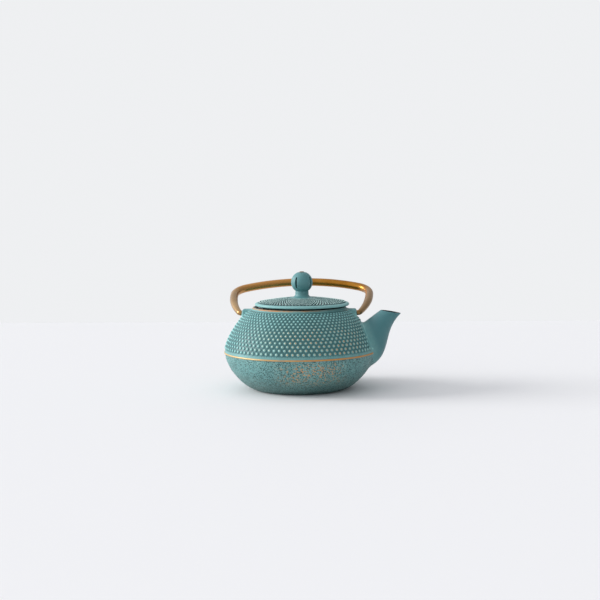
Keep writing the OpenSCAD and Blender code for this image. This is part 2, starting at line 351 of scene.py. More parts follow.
def spout_points(t, w, inset=0.0):
    """Points of the spout's oval sections at places t along it and angle w round it."""
    t = np.asarray(t, float)
    u = LIP_HEEL + t[:, None] * TOP_RUN
    low = under_edge(t)
    mid, half = (u + low) / 2, np.hypot(*(low - u).T) / 2
    way = (low - u) / (2 * half[:, None])
    q = mid + way * ((half - inset) * math.cos(w))[:, None]
    width = (LIP_HALF + (ROOT_HALF - LIP_HALF) * np.maximum(t, 0) ** 0.85 - inset) * math.sin(w)
    return np.column_stack([q[:, 0], width, q[:, 1]])


def in_spout(x, y, z, margin):
    """Whether a point lies within the spout, widened by margin."""
    if x < 0:
        return False
    t = np.linspace(-0.1, 1.15, 160)
    u, low = LIP_HEEL + t[:, None] * TOP_RUN, under_edge(t)
    way = low - u
    side = way[:, 0] * (z - u[:, 1]) - way[:, 1] * (x - u[:, 0])
    flips = np.nonzero(np.sign(side[1:]) != np.sign(side[:-1]))[0]
    if not len(flips):
        return False
    i = flips[0]
    half = np.hypot(*way[i]) / 2
    q = ((x - u[i, 0]) * way[i, 0] + (z - u[i, 1]) * way[i, 1]) / (2 * half) - half
    width = LIP_HALF + (ROOT_HALF - LIP_HALF) * max(t[i], 0) ** 0.85
    return (q / (half + margin)) ** 2 + (y / (width + margin)) ** 2 < 1


def build_spout():
    t = np.linspace(0, 1.25, 500)
    lines, hits = [], []
    for k in range(SPOUT_SIDES):
        p = spout_points(t, 2 * math.pi * k / SPOUT_SIDES)
        s = np.concatenate([[0], np.cumsum(np.linalg.norm(np.diff(p, axis=0), axis=1))])
        outside = np.hypot(p[:, 0], p[:, 1]) > np.interp(p[:, 2], OUTER.p[:, 1], OUTER.p[:, 0])
        lines.append((p, s))
        hits.append(np.nonzero(outside)[0][-1])
    # where each line meets the pot, as angle and distance along the outline
    meet = np.array([p[i] for (p, _), i in zip(lines, hits)])
    ang = np.arctan2(meet[:, 1], meet[:, 0])
    dist = np.interp(meet[:, 2], OUTER.p[:, 1], OUTER.s)
    rad = np.hypot(meet[:, 0], meet[:, 1])
    loop = np.column_stack([ang * rad, dist])
    run = np.roll(loop, -1, 0) - np.roll(loop, 1, 0)
    run /= np.linalg.norm(run, axis=1)[:, None]
    away = np.column_stack([run[:, 1], -run[:, 0]])
    middle = loop.mean(0)
    away *= np.sign(((loop - middle) * away).sum(1))[:, None]
    rings = [[] for _ in range(LIP_STEPS + SPOUT_STEPS + FILLET_STEPS + 2)]
    for k in range(SPOUT_SIDES):
        w = 2 * math.pi * k / SPOUT_SIDES
        p, s = lines[k]
        fillet = 4.0 + 1.5 * (1 + math.cos(w)) / 2
        end = s[hits[k]] - fillet
        col = []
        for j in range(LIP_STEPS):
            f = math.pi / 2 * j / (LIP_STEPS - 1)
            at = np.interp(LIP_ROUND * (1 - math.cos(f)), s, t)
            col.append(spout_points([at], w, LIP_ROUND * (1 - math.sin(f)))[0])
        for j in range(1, SPOUT_STEPS + 1):
            at = np.interp(LIP_ROUND + (end - LIP_ROUND) * j / SPOUT_STEPS, s, t)
            col.append(spout_points([at], w)[0])
        a, s_land = ang[k] + away[k, 0] * fillet / rad[k], dist[k] + away[k, 1] * fillet
        land, start = outer_point(a, s_land, -0.12), col[-1]
        for j in range(1, FILLET_STEPS + 1):
            f = j / FILLET_STEPS
            col.append((1 - f) ** 2 * start + 2 * f * (1 - f) * meet[k] + f * f * land)
        col.append(outer_point(a, s_land, -0.8))
        col.append(outer_point(a, s_land, -0.8) * [0.5, 0.5, 1] + [20, 0, 0])
        for ring, q in zip(rings, col):
            ring.append(tuple(q))
    return tube_rings([ring[::-1] for ring in rings])


def build_channel():
    rings = []
    stops = [-0.08, -0.02] + [x / TOP_LENGTH for x in (0.0, 0.08, 0.2, 0.4, 0.6)]
    stops += list(np.linspace(0.06, 1.12, 24))
    for at in stops:
        depth = min(max(at * TOP_LENGTH, 0), LIP_ROUND)
        inset = LIP_WALL + (SPOUT_WALL - LIP_WALL) * smoothstep(0, 0.35, at)
        inset -= LIP_ROUND - math.sqrt(LIP_ROUND ** 2 - (LIP_ROUND - depth) ** 2)
        rings.append([tuple(spout_points([at], -2 * math.pi * k / SPOUT_SIDES, inset)[0])
                      for k in range(SPOUT_SIDES)])
    return tube_rings(rings)


# ---------------------------------------------------------------- lugs
LUG_HALF, LUG_OUT = 8.5, 57.1
LUG_ROUND_Z, LUG_ROUND = 76.5, 3    # height where the rounding starts, and how high it is
LUG_HOLE_R, LUG_HOLE_DEPTH = 2.65, 6.4


def build_lug(side):
    """A stack of rounded rectangles, narrower and rounded over at the top."""
    levels = list(np.linspace(60, LUG_ROUND_Z, 12))
    levels += [LUG_ROUND_Z + LUG_ROUND * math.sin(a) for a in np.linspace(0.2, math.pi / 2, 8)]
    rings = []
    for z in levels:
        if z <= LUG_ROUND_Z:
            half = LUG_HALF - 2 * smoothstep(70, 77.5, z)
            out = np.interp(z, [60, 71, 75.3, LUG_ROUND_Z], [57.5, 57.5, LUG_OUT, LUG_OUT - 0.1])
        else:
            b = math.asin(min(1, (z - LUG_ROUND_Z) / LUG_ROUND))
            half = 3.2 + 3.35 * math.cos(b)
            out = LUG_OUT - 0.1 - 1.9 * (1 - math.cos(b))
        x0, x1, corner = 40.0, out, 1.5
        ring = []
        for cx, cy, a0 in ((x1 - corner, half - corner, 0), (x0 + corner, half - corner, 90),
                           (x0 + corner, -half + corner, 180), (x1 - corner, -half + corner, 270)):
            for a in (0, 18, 36, 54, 72, 90):
                w = math.radians(a0 + a)
                ring.append((side * (cx + corner * math.cos(w)), side * (cy + corner * math.sin(w)), z))
        rings.append(ring)
    return tube_rings(rings)


def build_pin_cutter(side):
    rings = []
    for x, r in ((LUG_OUT - LUG_HOLE_DEPTH, LUG_HOLE_R), (LUG_OUT - 0.6, LUG_HOLE_R),
                 (LUG_OUT + 0.2, LUG_HOLE_R + 0.6), (LUG_OUT + 4, LUG_HOLE_R + 0.6)):
        rings.append([(side * x, side * r * math.cos(a), PIVOT[2] + r * math.sin(a))
                      for a in (2 * math.pi * k / 40 for k in range(40))])
    return tube_rings(rings)


# ---------------------------------------------------------------- pot casting
def build_pot():
    verts, faces = [], []
    n = 4 * STUDS_AROUND
    angles = 2 * math.pi * np.arange(n) / n

    def ring_of(r, z):
        first = len(verts)
        r, z = np.broadcast_to(r, (n,)), np.broadcast_to(z, (n,))
        verts.extend(zip(r * np.cos(angles), r * np.sin(angles), z))
        return list(range(first, first + n))

    def add(r, z):
        rings.append(ring_of(r, z))
        faces.extend(ring_strip(rings[-2], rings[-1]))

    verts.append((0, 0, 0))
    rings = [ring_of(BOWL.at(0)[0] - 0.6, 0)]
    faces.extend((0, rings[0][(k + 1) % n], rings[0][k]) for k in range(n))
    # coarse sandy casting below the belt
    steps = np.arange(0.45, BOWL.s[-1] - 0.9, 1.12)
    grain = rng.normal(0, 1, (len(steps), n))
    grain = grain + 0.35 * (np.roll(grain, 1, 1) + np.roll(grain, -1, 1))
    for i, s in enumerate(steps):
        r, z = BOWL.at(s)
        nr, nz = BOWL.out(s)
        fade = smoothstep(0, 3, s) * smoothstep(0, 2, BOWL.s[-1] - s - 0.6)
        lift = SAND_LIFT * np.clip(grain[i], -1.8, 1.8) * fade - SAND_SINK
        add(r + nr * lift, z + nz * lift)
    # the belt's bead
    for a in np.linspace(-80, 80, 9):
        a = math.radians(a)
        add(BELLY_R - OVERHANG + 0.8 * math.cos(a), BELT_Z + 0.85 * math.sin(a))
    for s in (0.98, POT_ROWS[0]):
        p = shoulder_point(0, s, 0)
        add(p[0], p[2])
    low_ring = rings[-1]
    p = shoulder_point(0, POT_ROWS[-1], 0)
    rings.append(ring_of(p[0], p[2]))

    def stud_height(a, s):
        x, y, z = shoulder_point(a, s, 0)
        by_lug = abs(y) < LUG_HALF + 1.6 and 46 < abs(x) < 59.3 and z > 70
        if in_spout(x, y, z, 4.4) or by_lug:
            return 0
        return 1 + STUD_UNEVEN * rng.uniform(-1, 1)

    studded(verts, faces, shoulder_point, SHOULDER, POT_ROWS, STUDS_AROUND, stud_height, low_ring,
            rings[-1])
    top = SHOULDER.s[-1]
    for s in list(np.linspace(POT_ROWS[-1] + 0.8, top - 2.2, 3)) + [top - e for e in (1.7, 1.2, 0.7, 0.35)]:
        p = shoulder_point(0, s, 0)
        add(p[0], p[2])
    for r in (RIM_R - 0.35, PAINT_END + 0.2, PAINT_END - 0.2):
        add(r, RIM_Z)
    centre = len(verts)
    verts.append((0, 0, RIM_Z))
    faces.extend((rings[-1][k], rings[-1][(k + 1) % n], centre) for k in range(n))
    body = make("pot_casting", verts, faces)

    wall_line = Line(np.vstack([BOWL.p[:-1], SHOULDER.p[:-3]]))
    inner = []
    for s in np.linspace(0, wall_line.s[-1], 60):
        r, z = wall_line.at(s)
        nr, nz = wall_line.out(s)
        r, z = r - nr * WALL, z - nz * WALL
        if WALL + 0.5 < z < CAVITY_TOP:
            inner.append((r, z))
    mouth = [(46.5, 73), (MOUTH_R, 76), (MOUTH_R, SEAT_Z), (SEAT_R, SEAT_Z), (SEAT_R, RIM_Z - 0.4),
             (SEAT_R + 0.4, RIM_Z + 0.1), (SEAT_R + 0.4, RIM_Z + 3), (0, RIM_Z + 3)]
    cavity = lathe([(0, WALL)] + inner + mouth, POT_ROUND)
    foot = lathe([(0, -2), (FOOT_R - 0.4, -2), (FOOT_R, 0), (FOOT_R, FOOT_DEPTH), (0, FOOT_DEPTH)],
                 POT_ROUND)
    combine(body, "UNION", make("spout", *build_spout()), make("lug_a", *build_lug(1)),
            make("lug_b", *build_lug(-1)))
    combine(body, "DIFFERENCE", make("cavity", *cavity), make("foot", *foot),
            make("channel", *build_channel()), make("hole_a", *build_pin_cutter(1)),
            make("hole_b", *build_pin_cutter(-1)))
    shade(body, 48)

    co = positions(body)
    r = np.hypot(co[:, 0], co[:, 1])
    z = co[:, 2]
    s = np.interp(z, SHOULDER.p[:, 1], SHOULDER.s)
    ground, slope = np.interp(z, SHOULDER.p[:, 1], SHOULDER.p[:, 0]), SHOULDER.out(s)
    above = (r - ground) * slope[0] + sunk(s)
    pitch = 2 * math.pi * np.maximum(r, 1) / STUDS_AROUND
    relief = np.clip(above / (STUD_TIP * pitch), 0, 1) * (s > 2.5) * (s < POT_ROWS[-1]) * (above < 1.5)
    attribute(body, "relief", relief)
    bare = (np.abs(co[:, 1]) < LUG_HALF + 1.8) & (r < 59.5) & (z > 70)
    for i in np.nonzero((co[:, 0] > 50) & (np.abs(co[:, 1]) < ROOT_HALF + 5) & (z > BELT_Z))[0]:
        bare[i] |= in_spout(*co[i], 4.6)
    attribute(body, "studded", (s > 3.5) & (s < POT_ROWS[-1]) & (above < 1.5) & ~bare)
    belt = (np.abs(z - BELT_Z) < 0.75) & (r > BELLY_R - 0.7) & (r < BELLY_R + 0.5)
    collar = (z > RIM_Z - 1.1) & (r > RIM_R - 0.6) & (r < RIM_R + 0.9)
    hollow = (r < np.interp(z, OUTER.p[:, 1], OUTER.p[:, 0]) - 1.6) & (z > WALL - 0.1) & (r < 75)
    hollow |= (r < PAINT_END) & (z > 74)
    for i in np.nonzero((co[:, 0] > 55) & (np.abs(co[:, 1]) < ROOT_HALF))[0]:
        hollow[i] |= in_spout(*co[i], -0.8)
    attribute(body, "edge", belt)
    attribute(body, "collar", collar)
    attribute(body, "sand", (z < BELT_Z - 0.6) & (r < 74.6) & ~hollow)
    attribute(body, "hollow", hollow)
    attribute(body, "plain", smoothstep(0.3, 9, above))
    return body


# ---------------------------------------------------------------- lid
LID_STUDS, LID_ROWS = 80, 19
LID_STUD_LIFT = 1.6                 # the lid's studs are this much taller than the pot's
EDGE_R, EDGE_Z, FLARE_R, FLARE_Z = 44.2, 85.9, 12.2, 90.7
NECK_R, NECK_TOP = 6.6, LID_HI[2]
LAND_R, LAND_Z, LID_Z = 39.3, 80.5, 82.8
LID_R = (LID_HI[0] - LID_LO[0]) / 2
RING_R, RING_WALL, UNDER_Z = 29.8, 2.6, 87.0        # locating ring, and the lid's underside
BORE_R = 2.0                        # for the rivet's shank, in the lid and the knob
# the lid's rounded rim, as distances in from its edge and up from its underside
LIP_CURVE = [(1.5, 0), (0.9, 0.12), (0.35, 0.6), (0.05, 1.25), (0.1, 1.8), (0.45, 2.35), (1.1, 2.75),
             (1.9, 2.95)]
DOME = Line([(r, FLARE_Z - (FLARE_Z - EDGE_Z) * ((r - FLARE_R) / (EDGE_R - FLARE_R)) ** 1.25)
             for r in np.linspace(EDGE_R, FLARE_R, 200)])
LID_STUD_ROWS = stud_rows(DOME, 1.95, LID_ROWS, LID_STUDS)
LID_STUD_ROWS[0] = 0.1              # the plain ring stays on the dome


def dome_point(a, s, h):
    r, z = DOME.at(s)
    nr, nz = DOME.out(s)
    last = LID_STUD_ROWS[-1]
    fade = smoothstep(0, 0.8, s) * (1 - smoothstep(last - 0.5, last + 0.8, s))
    d = h - SINK * 2 * math.pi * r / LID_STUDS * fade
    return (LID_X + (r + nr * d) * math.cos(a), (r + nr * d) * math.sin(a), z + nz * d)


def build_lid():
    verts, faces = [], []
    n = 4 * LID_STUDS

    def ring_of(r, z):
        verts.extend(circle(LID_X, r, z, n))
        return list(range(len(verts) - n, len(verts)))

    bottom, wall_in = LID_LO[2], RING_R - RING_WALL
    below = [(BORE_R, UNDER_Z), (8, UNDER_Z), (18, 86), (wall_in - 1.5, 84.4), (wall_in - 0.2, 83.4),
             (wall_in, 82), (wall_in, bottom + 0.5), (wall_in + 0.5, bottom), (RING_R - 0.5, bottom),
             (RING_R, bottom + 0.5), (RING_R, LAND_Z - 0.4), (RING_R + 0.4, LAND_Z), (LAND_R - 0.4, LAND_Z),
             (LAND_R, LAND_Z + 0.4), (LAND_R, LID_Z - 0.3), (LAND_R + 0.3, LID_Z)]
    below += [(LID_R - inward, LID_Z + up) for inward, up in LIP_CURVE]
    rings = [ring_of(r, z) for r, z in below]
    p = dome_point(0, LID_STUD_ROWS[0], 0)
    rings.append(ring_of(p[0] - LID_X, p[2]))
    for a, b in zip(rings, rings[1:]):
        faces.extend(ring_strip(a, b))
    p = dome_point(0, LID_STUD_ROWS[-1], 0)
    inner_ring = ring_of(p[0] - LID_X, p[2])

    def stud_height(a, s):
        return LID_STUD_LIFT * (1 + STUD_UNEVEN * rng.uniform(-1, 1))

    studded(verts, faces, dome_point, DOME, LID_STUD_ROWS, LID_STUDS, stud_height, rings[-1], inner_ring)
    above = [(FLARE_R, FLARE_Z - 0.02)]
    above += [(FLARE_R - (FLARE_R - NECK_R) * math.sin(a), FLARE_Z + 3.4 * (1 - math.cos(a)))
              for a in np.radians([12, 25, 38, 51, 64, 77, 90])]
    above += [(NECK_R, NECK_TOP - 1.9), (NECK_R, NECK_TOP - 0.8), (NECK_R - 0.2, NECK_TOP - 0.3),
              (NECK_R - 0.7, NECK_TOP), (BORE_R, NECK_TOP)]
    upper = [inner_ring] + [ring_of(r, z) for r, z in above]
    for a, b in zip(upper, upper[1:] + rings[:1]):
        faces.extend(ring_strip(a, b))
    lid = make("lid_casting", verts, faces, 48)
    co = positions(lid)
    r = np.hypot(co[:, 0] - LID_X, co[:, 1])
    z = co[:, 2]
    order = np.argsort(DOME.p[:, 0])
    ground = np.interp(r, DOME.p[order, 0], DOME.p[order, 1])
    pitch = 2 * math.pi * r / LID_STUDS
    relief = np.clip((z - ground + SINK * pitch) / (LID_STUD_LIFT * STUD_TIP * pitch), 0, 1)
    # only the tips count as raised here, so the painted shade between the lid's studs reaches far up their
    # sides
    relief = relief ** 3.5 * ((r < 43.6) & (r > FLARE_R + 0.5) & (z > 84))
    attribute(lid, "relief", relief)
    attribute(lid, "studded", (r < 44.0) & (r > FLARE_R + 1) & (z > 84))
    # mask for the lid's pale dry-brushed paint and painted sheen
    attribute(lid, "lid_sheen_and_drybrush", (r > FLARE_R + 1) & (z > 84))
    attribute(lid, "plain", 0.65 * (z > FLARE_Z + 0.3))
    # the black underside is the lid's own enamel; it reaches a little way up the rim's rounded lower edge
    # as painted shade that widens the dark gap under the lid
    attribute(lid, "hollow", (z < LID_Z + 0.35) | ((r < LAND_R) & (z < 87.1)))
    return lid


# ---------------------------------------------------------------- knob and rivet
KNOB_R = (KNOB_HI[0] - KNOB_LO[0]) / 2
KNOB_Z = 105.9
KNOB_IN, KNOB_FLOOR, KNOB_CEILING = 8.3, 6.3, 7.5   # the hollow's radius, and how far down and up it goes
SLOT_W, SLOT_H, SLOT_TURN, SLOTS = 1.7, 11.0, -31, 4
SLOT_STEPS = ((4.0, 0.0), (KNOB_R - 0.75, 0.0), (KNOB_R - 0.3, 0.12), (KNOB_R + 0.15, 0.45),
              (KNOB_R + 1.5, 0.9))  # depth from the axis, and how much wider the slot is there


def build_knob():
    lo, hi = KNOB_LO[2], KNOB_HI[2]
    bottom_a = math.asin((lo - KNOB_Z) / KNOB_R)
    top_a = math.asin((hi - KNOB_Z) / KNOB_R)
    outer = [(BORE_R, lo), (KNOB_R * math.cos(bottom_a) - 0.5, lo)]
    outer += [(KNOB_R * math.cos(a), KNOB_Z + KNOB_R * math.sin(a))
              for a in np.linspace(bottom_a + 0.05, top_a - 0.05, 56)]
    outer += [(KNOB_R * math.cos(top_a) - 0.5, hi), (BORE_R, hi)]
    ball = make("knob_ball", *tube_of(outer, 144, LID_X), 40)
    low_a, high_a = -math.asin(KNOB_FLOOR / KNOB_IN), math.asin(KNOB_CEILING / KNOB_IN)
    wall = [(KNOB_IN * math.cos(a), KNOB_Z + KNOB_IN * math.sin(a)) for a in np.linspace(low_a, high_a, 24)]
    inside = lathe([(0, KNOB_Z - KNOB_FLOOR)] + wall + [(0, KNOB_Z + KNOB_CEILING)], 96, LID_X)
    cutters = [make("inside", *inside)]
    for i in range(SLOTS):
        turn = math.radians(-90 + SLOT_TURN + 360 * i / SLOTS)
        sections = []
        for depth, grow in SLOT_STEPS:
            w, h = SLOT_W / 2 + grow, SLOT_H / 2 + grow
            ring = []
            for sign in (1, -1):
                for a in np.linspace(0, math.pi, 9) if sign > 0 else np.linspace(math.pi, 2 * math.pi, 9):
                    ring.append((w * math.cos(a), sign * (h - w) + w * math.sin(a)))
            sections.append([(LID_X + depth * math.cos(turn) - u * math.sin(turn),
                              depth * math.sin(turn) + u * math.cos(turn), KNOB_Z + v) for u, v in ring])
        cutters.append(make("slot", *tube_rings(sections)))
    combine(ball, "DIFFERENCE", *cutters)
    shade(ball, 34)
    co = positions(ball)
    d = np.linalg.norm(co - [LID_X, 0, KNOB_Z], axis=1)
    attribute(ball, "plain", np.full(len(co), 0.65))
    attribute(ball, "hollow", d < KNOB_R - 1.2)
    return ball


def build_rivet():
    z0, z1, shank, top = RIVET_LO[2], RIVET_HI[2], 1.88, KNOB_HI[2]
    head = [(shank, top), (2.45, top), (2.6, top + 0.12), (2.58, top + 0.3), (2.4, top + 0.52),
            (2.0, top + 0.7), (1.3, z1 - 0.06), (0.6, z1 - 0.01), (0, z1)]
    low = [(0, z0), (1.4, z0), (2.4, z0 + 0.15), (3.0, z0 + 0.5), (3.2, z0 + 0.85), (3.15, z0 + 1.1),
           (shank, z0 + 1.1)]
    return make("rivet_domed", *lathe(low + head, 64, LID_X), 40)


# ---------------------------------------------------------------- bail handle
LEAN = 73.0
REACH, GRIP_BEND, SHOULDER_BEND, ARM_BEND = 85.5, 117.0, 22.0, 128.0
SKEW = 0.0003                       # the reach grows by this share for each mm towards the spout
HALF_W, WIDE_H, ROD_R, HOOK_R, HOOK_BEND, THIN_H, TIP_R = 69.8, 50.0, 4.1, 2.6, 3.2, 34.0, 2.4


def build_bail():
    grip_c = np.array([0, REACH - GRIP_BEND])
    arm_c = np.array([HALF_W - ARM_BEND, WIDE_H])
    gap = np.linalg.norm(arm_c - grip_c)
    a, b = GRIP_BEND - SHOULDER_BEND, ARM_BEND - SHOULDER_BEND
    along = (a * a - b * b + gap * gap) / (2 * gap)
    across = math.sqrt(a * a - along * along)
    g = (arm_c - grip_c) / gap
    sh_c = grip_c + along * g + across * np.array([g[1], -g[0]])
    grip_end = math.atan2(*(sh_c - grip_c)[::-1])
    arm_start = math.atan2(*(sh_c - arm_c)[::-1])
    arm_end = math.asin((HOOK_BEND - WIDE_H) / (ARM_BEND - HOOK_BEND))
    hook_c = arm_c + (ARM_BEND - HOOK_BEND) * np.array([math.cos(arm_end), math.sin(arm_end)])
    half = []
    for c, r, a0, a1, steps in ((grip_c, GRIP_BEND, math.pi / 2, grip_end, 40),
                                (sh_c, SHOULDER_BEND, grip_end, arm_start, 20),
                                (arm_c, ARM_BEND, arm_start, arm_end, 30),
                                (hook_c, HOOK_BEND, arm_end, -math.pi / 2, 14)):
        for i in range(steps):
            w = a0 + (a1 - a0) * i / steps
            half.append((c[0] + r * math.cos(w), c[1] + r * math.sin(w), w))
    half.append((hook_c[0], hook_c[1] - HOOK_BEND, -math.pi / 2))
    tip_x = LUG_OUT - LUG_HOLE_DEPTH + 0.8
    half += [(x, 0.0, -math.pi / 2) for x in (*np.linspace(hook_c[0], tip_x + 0.35, 6)[1:], tip_x)]
    line = [(-x, y, math.pi - w) for x, y, w in half[:0:-1]] + half
    n = 36
    rings = []
    tilt = math.radians(90 - LEAN)
    for i, (x, y, w) in enumerate(line):
        edge = min(i, len(line) - 1 - i)
        r = ROD_R if y > THIN_H else HOOK_R + (ROD_R - HOOK_R) * (max(y, 0) / THIN_H) ** 0.8
        if edge < 6:
            r = TIP_R - 0.02
        if edge == 6:
            r = (TIP_R + HOOK_R) / 2
        if edge == 0:
            r = TIP_R - 0.4
        wob = 0.012 * math.sin(0.31 * i) + 0.008 * math.sin(0.83 * i + 1)
        y *= 1 + SKEW * x
        ring = []
        for k in range(n):
            f = 2 * math.pi * k / n
            rr = r * (0.992 + wob * 0.3 + 0.003 * math.sin(3 * f + 0.05 * i))
            px, py = x + rr * math.cos(f) * math.cos(w), y + rr * math.cos(f) * math.sin(w)
            pz = rr * math.sin(f)
            ring.append((px, PIVOT[1] + py * math.cos(tilt) - pz * math.sin(tilt),
                         PIVOT[2] + py * math.sin(tilt) + pz * math.cos(tilt)))
        rings.append(ring)
    return make("bail_rod", *tube_rings(rings), 40)


# ---------------------------------------------------------------- tea basket
BASKET_R, SHEET = WALL_HI[0], 0.5
HOLE_R, HOLE_PITCH = 0.72, 2.5       # the pitch is the bottom's
BASKET_SIDES = 160


CELL = ((1, 0), (1, 1), (1, 2), (0, 2), (-1, 2), (-1, 1), (-1, 0), (0, 0))      # corners round one hole


def build_basket_wall():
    """A sheet of staggered round holes, cell by cell, between two plain bands."""
    around, rows = 84, 17
    z0, z1 = WALL_LO[2], WALL_HI[2]
    a0, a1 = 29.6, 70.4
    dz, half = (a1 - a0) / rows, math.pi / around
    verts, faces, index = [], [], {}

    def at(key, a, z, r):
        if key not in index:
            index[key] = len(verts)
            verts.append((r * math.cos(a), r * math.sin(a), z))
        return index[key]

    for layer, r in ((0, BASKET_R), (1, BASKET_R - SHEET)):
        def grid(c, i):
            return at((layer, c % (2 * around), i), c * half, a0 + i * dz / 2, r)
        cells = []
        for i in range(rows):
            for k in range(around):
                c = 2 * k + i % 2
                loop = [grid(c + dc, 2 * i + di) for dc, di in CELL]
                ring = []
                for j in range(8):
                    f = math.radians(-45 + 45 * j)
                    ring.append(at((layer, "h", i, k, j), c * half + HOLE_R * math.cos(f) / r,
                                   a0 + (i + 0.5) * dz + HOLE_R * math.sin(f), r))
                cells.append(ring)
                strip = [(loop[j], loop[(j + 1) % 8], ring[(j + 1) % 8], ring[j]) for j in range(8)]
                faces.extend(strip if layer == 0 else [f[::-1] for f in strip])
        if layer == 0:
            outer_cells = cells
            outer_low = [grid(c, 0) for c in range(2 * around)]
            outer_high = [grid(c, 2 * rows) for c in range(2 * around)]
        else:
            inner_low = [grid(c, 0) for c in range(2 * around)]
            inner_high = [grid(c, 2 * rows) for c in range(2 * around)]
    for outer, inner in zip(outer_cells, cells):
        faces.extend((outer[j], outer[(j + 1) % 8], inner[(j + 1) % 8], inner[j]) for j in range(8))

    def plain(r, z):
        first = len(verts)
        verts.extend((r * math.cos(c * half), r * math.sin(c * half), z) for c in range(2 * around))
        return list(range(first, first + 2 * around))

    top_o, top_i = plain(BASKET_R, z1), plain(BASKET_R - SHEET, z1)
    low_o, low_i = plain(BASKET_R, z0), plain(BASKET_R - SHEET, z0)
    faces.extend(ring_strip(outer_high, top_o) + ring_strip(top_o, top_i) + ring_strip(top_i, inner_high))
    faces.extend(ring_strip(low_o, outer_low) + ring_strip(low_i, low_o) + ring_strip(inner_low, low_i))
    return make("basket_wall", verts, faces, 35)


def build_basket_rim():
    top, low, out = RIM_HI[2], RIM_LO[2], RIM_HI[0]
    flange = top - 0.6
    r0, r1 = BASKET_R, BASKET_R + SHEET
    prof = [(r0 + 0.02, low), (r1 - 0.1, low), (r1, low + 0.12), (r1, low + 2.6), (r1, low + 3.0),
            (r1, flange - 0.5), (r1 + 0.15, flange - 0.12), (r1 + 0.5, flange), (out - 0.4, flange),
            (out - 0.06, flange + 0.14), (out, flange + 0.3), (out - 0.06, top - 0.14), (out - 0.3, top),
            (r0 + 0.9, top), (r0 + 0.3, top - 0.14), (r0 + 0.02, top - 0.6)]
    return make("basket_rim", *tube_of(prof, BASKET_SIDES), 35)


def build_basket_cup():
    z0, top, out = CUP_LO[2], CUP_HI[2], CUP_HI[0]
    prof = [(0, z0), (BASKET_R - 1.6, z0), (BASKET_R - 0.7, z0 + 0.12), (BASKET_R + 0.1, z0 + 0.6),
            (out - 0.06, z0 + 1.2), (out, z0 + 1.8), (out, top - 0.12), (out - 0.12, top),
            (BASKET_R + 0.03, top), (BASKET_R + 0.02, z0 + 1.02), (BASKET_R - 1.0, z0 + SHEET + 0.1),
            (BASKET_R - 1.8, z0 + SHEET), (0, z0 + SHEET)]
    cup = make("basket_cup", *lathe(prof, BASKET_SIDES), 35)
    verts, faces = [], []
    for i in range(-14, 15):
        for j in range(-14, 15):
            x, y = HOLE_PITCH * (i + 0.5 * (j % 2)), HOLE_PITCH * j * math.sqrt(3) / 2
            if math.hypot(x, y) > BASKET_R - 3.4:
                continue
            first = len(verts)
            for z in (z0 - 1, z0 + 1.5):
                verts += [(x + HOLE_R * math.cos(a), y + HOLE_R * math.sin(a), z)
                          for a in (math.pi * k / 4 for k in range(8))]
            low, high = list(range(first, first + 8)), list(range(first + 8, first + 16))
            faces += ring_strip(low, high) + [tuple(low[::-1]), tuple(high)]
    combine(cup, "DIFFERENCE", make("holes", verts, faces))
    shade(cup, 35)
    return cup


# ---------------------------------------------------------------- materials
class Nodes:
    def __init__(self, tree, space):
        self.t = tree
        tree.nodes.clear()
        self.xyz = self.node("ShaderNodeTexCoord").outputs[space]
        self.sep = self.node("ShaderNodeSeparateXYZ", {0: self.xyz})

    def node(self, kind, inputs=None, **props):
        n = self.t.nodes.new(kind)
        for k, v in props.items():
            setattr(n, k, v)
        for k, v in (inputs or {}).items():
            self.put(n.inputs[k], v)
        return n

    def put(self, socket, v):
        if isinstance(v, bpy.types.NodeSocket):
            self.t.links.new(v, socket)
        else:
            socket.default_value = v

    def math(self, op, a, b, clamp=False):
        return self.node("ShaderNodeMath", {0: a, 1: b}, operation=op, use_clamp=clamp).outputs[0]

    def span(self, v, a, b, lo=0.0, hi=1.0):
        """v between a and b, eased to run from lo to hi."""
        return self.node("ShaderNodeMapRange", {0: v, 1: a, 2: b, 3: lo, 4: hi},
                         interpolation_type="SMOOTHSTEP").outputs[0]

    def mix(self, fac, a, b):
        n = self.node("ShaderNodeMix", {0: fac}, data_type="RGBA")
        for socket, v in ((n.inputs[6], a), (n.inputs[7], b)):
            self.put(socket, (*v, 1) if isinstance(v, tuple) else v)
        return n.outputs[2]


class Mat(Nodes):
    def __init__(self, name):
        self.m = bpy.data.materials.new(name)
        self.m.use_nodes = True
        super().__init__(self.m.node_tree, "Object")
        self.b = self.node("ShaderNodeBsdfPrincipled")
        self.node("ShaderNodeOutputMaterial", {0: self.b.outputs[0]})

    def noise(self, scale, detail, rough, vec=None):
        return self.node("ShaderNodeTexNoise", {"Vector": vec or self.xyz, "Scale": scale,
                                                "Detail": detail, "Roughness": rough}).outputs[0]

    def attr(self, name):
        return self.node("ShaderNodeAttribute", attribute_name=name).outputs["Fac"]

    def bump(self, height, strength, distance):
        return self.node("ShaderNodeBump", {"Height": height, "Strength": strength,
                                            "Distance": distance}).outputs[0]

    def set(self, **values):
        names = {"color": "Base Color", "metallic": "Metallic", "rough": "Roughness", "normal": "Normal",
                 "spec": "Specular IOR Level", "coat": "Coat Weight", "coat_rough": "Coat Roughness"}
        for k, v in values.items():
            self.put(self.b.inputs[names[k]], v)
        return self.m


